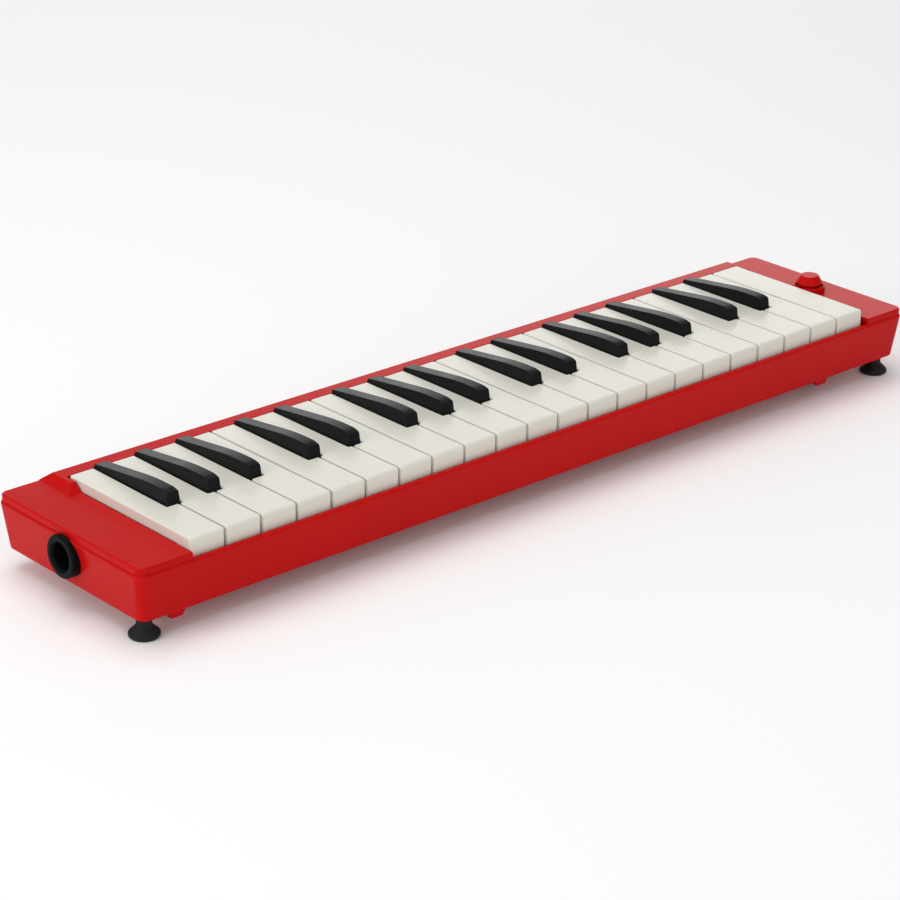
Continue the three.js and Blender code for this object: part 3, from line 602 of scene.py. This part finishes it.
def upper_case():
    low = RIM_TOP + TOUCH
    top = [case_ring(REVEAL + d, RIM_TOP, height=DECK_TOP - h) for d, h in quarter(0.8)[::-1]]
    bottom = case_ring(REVEAL, RIM_TOP, height=low)
    body = to_object("upper_case_shell", skin([bottom, *top]))
    inner = skin([case_ring(WALL, RIM_TOP, height=z) for z in (low - SUNK, DECK_TOP - PLATE)])
    room = hill(CROWN_WALL, DECK_TOP - PLATE - SUNK)
    boolean(body, [inner, room], "DIFFERENCE")
    sunk = DECK_TOP - SUNK
    crown = to_object("crown", hill(0, sunk))
    boolean(crown, [room], "DIFFERENCE")
    drain_place = (DRAIN_X, DRAIN_Y)
    edges = [(0, sunk), (COLLAR_RADIUS, sunk), (COLLAR_RADIUS, COLLAR_TOP, 0.6), (0, COLLAR_TOP)]
    collar = turned(fillet(edges, closed=False), drain_place)
    guide = rod(drain_place, GUIDE["bottom"], sunk, PLUNGER_RADIUS + GUIDE["wall"])
    skirts = []
    for x in (-SEAM - SKIRT["thick"], KEYBOARD + DECK_GAP):
        wall = block(x, x + SKIRT["thick"], SKIRT["front"], SKIRT["rear"], SKIRT["bottom"], sunk)
        skirts.append(wall)
    bosses = [rod(place, BOSS_TOP + SEAM, sunk, BOSS_RADIUS - 0.2) for place in SCREW_PLACES]
    end = SEAM + WALL
    rail_wall = block(-end, KEYBOARD + end, RAIL_FRONT - 0.5, RAIL_FRONT + 2, RAIL_SKIRT, RAIL_TOP - 1.5)
    modifier = body.modifiers.new("crown", "BOOLEAN")
    modifier.operation = "UNION"
    modifier.solver = "EXACT"
    modifier.object = crown
    boolean(body, [rail_wall, *skirts, *bosses, collar, guide], "UNION")
    bpy.data.objects.remove(crown)
    below, above = 20, 60
    openings = [
        block(-SEAM, KEYBOARD + DECK_GAP, CASE_FRONT - SUNK, BLOCK["front"] + 0.4, below, above),
        block(-SEAM, KEYBOARD + SEAM, BLOCK["front"] - SUNK, RAIL_FRONT, below, above),
        rod(drain_place, COLLAR_FLOOR, above, BUTTON_RADIUS + 0.4),
        rod(drain_place, below, above, PLUNGER_RADIUS + SEAM),
    ]
    for place in SCREW_PLACES:
        openings.append(rod(place, BOSS_TOP - 1.2, DECK_TOP - 1.4, HOLES["pilot"], segments=32))
    boolean(body, openings, "DIFFERENCE")
    soften(body, 0.35)
    finish(body, red, BODY, "red_plastic", "upper_case")


# ---------------------------------------------------------------- keys
def black_spans():
    spans = [box(node) for node in BLACKS]
    return [(low.x - ORIGIN_X, high.x - ORIGIN_X) for low, high in spans]


def lever(name, x, front, material, slot, body):
    """The arm under a key, over the hinge rod, with the soft pad at its end."""
    hub_cut = 1.3
    drop = PIVOT_Z - LEVER_BOTTOM
    outer = math.degrees(math.asin(drop / HUB_RADIUS))
    slot_outer = math.degrees(math.acos(hub_cut / HUB_RADIUS))
    slot_inner = math.degrees(math.acos(hub_cut / BORE_RADIUS))
    pivot = (PIVOT_Y, PIVOT_Z)
    tail = [
        (PAD_REAR, LEVER_BOTTOM),
        (PAD_REAR, 33.4, 0.8),
        (WHITE_REAR - 0.3, 33.9, 1),
        (WHITE_REAR - KEY_WALL, SIDE_BOTTOM),
    ]
    outline = [
        (front, LEVER_BOTTOM),
        *arc(pivot, HUB_RADIUS, 180 + outer, 180 + slot_outer),
        *arc(pivot, BORE_RADIUS, 180 + slot_inner, -slot_inner, 20),
        *arc(pivot, HUB_RADIUS, -slot_outer, -outer),
        (PAD_REAR, LEVER_BOTTOM),
        *fillet(tail, closed=False)[1:],
        (front, SIDE_BOTTOM),
    ]
    reach = LEVER_WIDTH / 2
    arm = to_object(name + "_lever", prism(outline, x - reach, x + reach, "X", 0.2, 2))
    finish(arm, material, body, slot)
    plan = rounded_rectangle(x - reach, x + reach, PAD_FRONT, PAD_REAR, 1, 4)
    pad = to_object(name + "_pad", prism(plan, PAD_BOTTOM, LEVER_BOTTOM - TOUCH, "Z", 0.5, 4))
    finish(pad, felt, body, "felt")


def key_shell(rows, rest, levels):
    """A key from its plan. rows are (left x, right x, y) from front to rear, rest the remaining outline
    from the right side round to the left, and levels give each ring's inset and its heights by y."""
    right_side = [(right, y) for left, right, y in rows]
    left_side = [(left, y) for left, right, y in rows[::-1]]
    outline = right_side + rest + left_side
    points = []
    count = len(outline)
    for depth, height in levels:
        points += [(x, y, height(y)) for x, y in inset(outline, depth)]
    faces = []
    for level in range(len(levels) - 1):
        low = level * count
        for i in range(count):
            j = (i + 1) % count
            faces.append((low + i, low + j, low + count + j, low + count + i))
    for start in (0, (len(levels) - 1) * count):
        last = count - 1
        for i in range(len(rows) - 1):
            faces.append((start + i, start + i + 1, start + last - i - 1, start + last - i))
        inner = len(rows) - 1
        faces.append(tuple(start + i for i in range(inner, count - inner)))
    return points, faces


def front_rows(left, right, front, corner, extra):
    """Rows across a key's front end: its round corners, then the run of its rounded top edge."""
    rows = []
    for i in range(ARC + 1):
        angle = math.pi / 2 * i / ARC
        side = corner * (1 - math.sin(angle))
        rows.append((left + side, right - side, front + corner * (1 - math.cos(angle))))
    rows += [(left, right, front + y) for y in extra]
    return rows


def roll(y, front, radius):
    """How far a rounded front edge has dropped below the top at y."""
    left = min(max(radius - (y - front), 0), radius)
    return radius - math.sqrt(radius**2 - left**2)


def white_key(number):
    low, high = box(WHITES[number])
    left, right = low.x - ORIGIN_X, high.x - ORIGIN_X
    rear_left, rear_right = left, right
    for start, end in black_spans():
        if start < left < end:
            rear_left = end + NOTCH
        if start < right < end:
            rear_right = start - NOTCH
    notch = BLACK_FRONT - NOTCH
    radius = 1.6
    rest = []
    if rear_right < right:
        rest += fillet(
            [(right, 20), (right, notch, TURN), (rear_right, notch, 0.5), (rear_right, 60)], 4, False
        )[1:-1]
    corners = [
        (rear_right, 60),
        (rear_right, WHITE_REAR, TURN),
        (rear_left, WHITE_REAR, TURN),
        (rear_left, 60),
    ]
    rest += fillet(corners, 4, False)[1:-1]
    if rear_left > left:
        rest += fillet(
            [(rear_left, 60), (rear_left, notch, 0.5), (left, notch, TURN), (left, 20)], 4, False
        )[1:-1]
    rows = front_rows(left, right, WHITE_FRONT, 1.3, (1.45, radius, 4, 10))
    edge = 0.6

    def under(y):
        share = min(max((y - WHITE_FRONT - 4) / 6, 0), 1)
        return APRON_BOTTOM + (SIDE_BOTTOM - APRON_BOTTOM) * share

    levels = [(0.3, under), (0, lambda y: under(y) + 0.3)]
    for depth, drop in quarter(edge)[::-1]:
        levels.append((depth, lambda y, drop=drop: WHITE_TOP - roll(y, WHITE_FRONT, radius) - drop))
    name = WHITES[number]
    top = to_object(name + "_top", key_shell(rows, rest, levels))
    finish(top, ivory, name, "ivory_plastic", name)
    lever(name, (rear_left + rear_right) / 2, 22, ivory, "ivory_plastic", name)


def spine(y):
    """Height of a black key's top: it dips at the front end, bends down and runs straight to the rear."""
    dip = DIP_DEPTH * max(1 - (y - BLACK_FRONT) / DIP_LENGTH, 0) ** 2
    bend = FALL_STRAIGHT - FALL_FROM
    along = max(y - FALL_FROM, 0)
    fall = along**2 / (2 * bend) if along < bend else along - bend / 2
    return WHITE_TOP + BLACK_RISE - dip - FALL_SLOPE * fall


def black_key(number):
    name = BLACKS[number]
    low, high = box(name)
    left, right = low.x - ORIGIN_X, high.x - ORIGIN_X
    radius = 1.1
    steps = [1.0, 1.1, 1.3, 1.8, 2.4, 3.0, 3.7, 4.5] + [6 + 1.5 * i for i in range(32)]
    rows = front_rows(left, right, BLACK_FRONT, 0.8, steps)
    rear = [(right, 80), (right, BLACK_REAR, 0.6), (left, BLACK_REAR, 0.6), (left, 80)]
    rest = fillet(rear, 4, False)[1:-1]
    apron, apron_end = 2, BLACK_FRONT + 6
    climb, climb_start = 1.6, WHITE_REAR - KEY_WALL

    def under(y):
        if y > apron_end:
            return SIDE_BOTTOM + climb * max(y - climb_start, 0) / (BLACK_REAR - climb_start)
        return SIDE_BOTTOM - apron * min(max((apron_end - y) / 2, 0), 1)

    slant = 0.5
    edge = 0.4
    levels = [(0.2, under), (0, lambda y: under(y) + 0.2), (0, lambda y: WHITE_TOP - 0.5)]

    def above(depth, drop):
        front = BLACK_FRONT + slant
        return depth + slant, lambda y: spine(y) - roll(y, front, radius) - drop

    for depth, drop in quarter(edge)[::-1]:
        levels.append(above(depth, drop))
    key = to_object(name + "_top", key_shell(rows, rest, levels))
    finish(key, black, name, "black_key_plastic", name)
    lever(name, (left + right) / 2, BLACK_FRONT + 4, black, "black_key_plastic", name)


# ---------------------------------------------------------------- mouthpiece socket
def mouthpiece_socket():
    base = CASE_LEFT + 3
    flange = fillet(
        [
            (SOCKET_RADIUS, base),
            (SOCKET_RADIUS, SOCKET_FRONT, 0.9),
            (SOCKET_BORE + 0.9, SOCKET_FRONT, 0.3),
            (SOCKET_BORE, SOCKET_FRONT + 1.1, 0.4),
            (SOCKET_BORE, SOCKET_END),
            (BARREL_RADIUS, SOCKET_END),
            (BARREL_RADIUS, base),
        ],
        5,
        False,
    )
    points, faces = turned(flange, (SOCKET_Y, SOCKET_Z), "X", 96)
    fitted = []
    for x, y, z in points:
        wall = CASE_LEFT + LEAN["left"] * leant(z) - TOUCH
        fitted.append((wall if x == base else x, y, z))
    socket = to_object("mouthpiece_socket_ring", (fitted, faces))
    finish(socket, socket_black, BODY, "socket_black", "mouthpiece_socket")


# ---------------------------------------------------------------- drain button
def drain():
    place = (DRAIN_X, DRAIN_Y)
    cap = fillet(
        [
            (0, PLUNGER_BOTTOM),
            (PLUNGER_RADIUS, PLUNGER_BOTTOM, 0.3),
            (PLUNGER_RADIUS, BUTTON_BASE),
            (BUTTON_RADIUS - 0.3, BUTTON_BASE, 0.15),
            (BUTTON_RADIUS, BUTTON_BASE + 0.4, 0.25),
            (CROWN_RADIUS, BUTTON_TOP, 0.9),
            (0, BUTTON_TOP),
        ],
        closed=False,
    )
    button = to_object("drain_button_cap", turned(cap, place))
    finish(button, red, "drain_button", "red_plastic", "drain_button")
    disc_low = box("drain_valve")[0].z
    disc_top = disc_low + VALVE_DEPTH
    stem_top = PLUNGER_BOTTOM + 0.3
    stem = fillet(
        [
            (0, disc_low),
            (VALVE_RADIUS, disc_low, 0.4),
            (VALVE_RADIUS, disc_top, 0.3),
            (STEM_RADIUS, disc_top, 0.3),
            (STEM_RADIUS, stem_top),
            (0, stem_top),
        ],
        closed=False,
    )
    valve = to_object("drain_valve_stem", turned(stem, place))
    finish(valve, rubber, "drain_button", "rubber", "drain_valve")
    low, high = box("drain_spring")
    steps = 28 * SPRING_TURNS
    rings = []
    for i in range(steps + 1):
        angle = 2 * math.pi * SPRING_TURNS * i / steps
        height = low.z + SPRING_WIRE + (high.z - low.z - 2 * SPRING_WIRE) * i / steps
        ring = []
        for u, v in arc((0, 0), SPRING_WIRE, 0, 360, 10)[:-1]:
            reach = SPRING_RADIUS + u
            ring.append((DRAIN_X + reach * math.cos(angle), DRAIN_Y + reach * math.sin(angle), height + v))
        rings.append(ring)
    spring = to_object("drain_spring_coil", skin(rings))
    finish(spring, steel, BODY, "steel", "drain_spring")
    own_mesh(spring)


# ---------------------------------------------------------------- feet and screws
def foot(node):
    pad, neck, plug = 7, 3.5, 2.2
    profile = fillet(
        [
            (0, 0),
            (pad - 0.7, 0, 0.5),
            (pad, 0.9, 0.5),
            (pad, 2.0, 0.8),
            (neck + 0.9, 4.6, 1.5),
            (neck, 5.6, 0.8),
            (neck, CASE_BOTTOM - TOUCH),
            (plug, CASE_BOTTOM - TOUCH),
            (plug, CASE_BOTTOM + FLOOR, 0.3),
            (0, CASE_BOTTOM + FLOOR),
        ],
        closed=False,
    )
    made = to_object(node + "_rubber", turned(profile, middle(node)))
    finish(made, rubber, BODY, "rubber", node)


def screw(node):
    x, y = middle(node)
    low, high = box(node)
    head, shank = 2.9, 1.4
    under = low.z + 1.7
    profile = fillet(
        [
            (0, low.z),
            (head, low.z, 0.7),
            (head, under, 0.15),
            (shank, under),
            (shank, high.z - 1, 0.3),
            (0.5, high.z),
            (0, high.z),
        ],
        closed=False,
    )
    made = to_object(node + "_steel", turned(profile, (x, y), segments=40))
    wide, slim, deep = 1.5, 0.32, 1.1
    recess = [
        block(x - wide, x + wide, y - slim, y + slim, low.z - 1, low.z + deep),
        block(x - slim, x + slim, y - wide, y + wide, low.z - 1, low.z + deep),
    ]
    boolean(made, recess, "DIFFERENCE")
    finish(made, steel, BODY, "steel", node)


def hinge_rod():
    low, high = box("hinge_rod")
    x0, x1 = low.x - ORIGIN_X, high.x - ORIGIN_X
    radius = 1.2
    ends = [(0, x0), (radius, x0, 0.3), (radius, x1, 0.3), (0, x1)]
    made = to_object("hinge_rod_steel", turned(fillet(ends, closed=False), (PIVOT_Y, PIVOT_Z), "X", 32))
    finish(made, steel, BODY, "steel", "hinge_rod")


# ---------------------------------------------------------------- inner pieces that keep their CAD shape
def dress(node, material, width):
    """A CAD node keeps its shape, with its edges rounded and a finish of its own."""
    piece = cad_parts[node]
    piece.data.materials.clear()
    piece.data.materials.append(material)
    weld = piece.modifiers.new("flats", "DECIMATE")
    weld.decimate_type = "DISSOLVE"
    weld.angle_limit = math.radians(0.6)
    bevel = piece.modifiers.new("edges", "BEVEL")
    bevel.width = width * MM
    bevel.segments = 2
    bevel.limit_method = "ANGLE"
    bevel.angle_limit = SHARP
    normals = piece.modifiers.new("normals", "WEIGHTED_NORMAL")
    normals.keep_sharp = True


# ---------------------------------------------------------------- camera, light and floor
def camera():
    azimuth, elevation, tilt = (math.radians(a) for a in (-41.85, 23.194, 0.588))
    level = Vector((math.cos(azimuth), math.sin(azimuth), 0))
    back = Vector(
        (
            math.sin(azimuth) * math.cos(elevation),
            -math.cos(azimuth) * math.cos(elevation),
            math.sin(elevation),
        )
    )
    upright = back.cross(level)
    right = level * math.cos(tilt) + upright * math.sin(tilt)
    up = back.cross(right)
    data = bpy.data.cameras.new("camera")
    data.sensor_width = 36
    data.lens = 114.75
    made = bpy.data.objects.new("camera", data)
    place = (-0.8555, -0.9302, 0.5484)
    turn = Matrix((right, up, back)).transposed().to_4x4()
    made.matrix_world = Matrix.Translation(place) @ turn
    bpy.context.scene.collection.objects.link(made)
    bpy.context.scene.camera = made


def area_light(name, place, size, power, colour=(1, 1, 1)):
    data = bpy.data.lights.new(name, "AREA")
    data.shape = "RECTANGLE"
    data.size, data.size_y = size
    data.energy = power
    data.color = colour
    made = bpy.data.objects.new(name, data)
    made.location = place
    made.rotation_mode = "QUATERNION"
    made.rotation_quaternion = (-Vector(place)).to_track_quat("-Z", "Y")
    bpy.context.scene.collection.objects.link(made)


def studio():
    world = bpy.data.worlds.new("studio")
    bpy.context.scene.world = world
    world.use_nodes = True
    background = world.node_tree.nodes["Background"]
    background.inputs["Color"].default_value = (1, 1, 1, 1)
    background.inputs["Strength"].default_value = 0.46
    area_light("top_softbox", (-0.2, 0.25, 1.7), (1.6, 1.2), 12.5)
    area_light("left_softbox", (-1.9, 0.1, 0.8), (1.2, 1.0), 13)
    area_light("front_softbox", (-0.6, -2.1, 0.9), (1.2, 1.0), 8.5)
    area_light("rear_panel", (1.35, 1.5, 0.45), (2.2, 0.7), 8)
    material, nodes, links, shader = new_material("pale_floor")
    shader.inputs["Base Color"].default_value = (0.97, 0.97, 0.97, 1)
    shader.inputs["Roughness"].default_value = 1
    shader.inputs["Specular IOR Level"].default_value = 0
    reach = 9000
    corners = [(-reach, -reach, 0), (reach, -reach, 0), (reach, reach, 0), (-reach, reach, 0)]
    plane = to_object("floor", (corners, [(0, 1, 2, 3)]))
    plane.data.materials.append(material)
    settings = bpy.context.scene.view_settings
    settings.view_transform = "Standard"
    settings.look = "None"


# ---------------------------------------------------------------- assembly
camera()
studio()
lower_case()
upper_case()
for number in range(WHITE_COUNT):
    white_key(number)
for number in range(BLACK_COUNT):
    black_key(number)
mouthpiece_socket()
drain()
for node in FEET:
    foot(node)
for node in SCREWS:
    screw(node)
hinge_rod()
dress("key_spring_comb", steel, 0.08)
dress("key_stop_felt", felt, 0.5)
dress("pallet_seal", silicone, 0.15)
dress("wind_chest", grey, 0.25)
dress("wind_chest_cover", grey, 0.3)
dress("cover_gasket", silicone, 0.15)
dress("reed_plate_bass", brass, 0.08)
dress("reed_plate_treble", brass, 0.08)
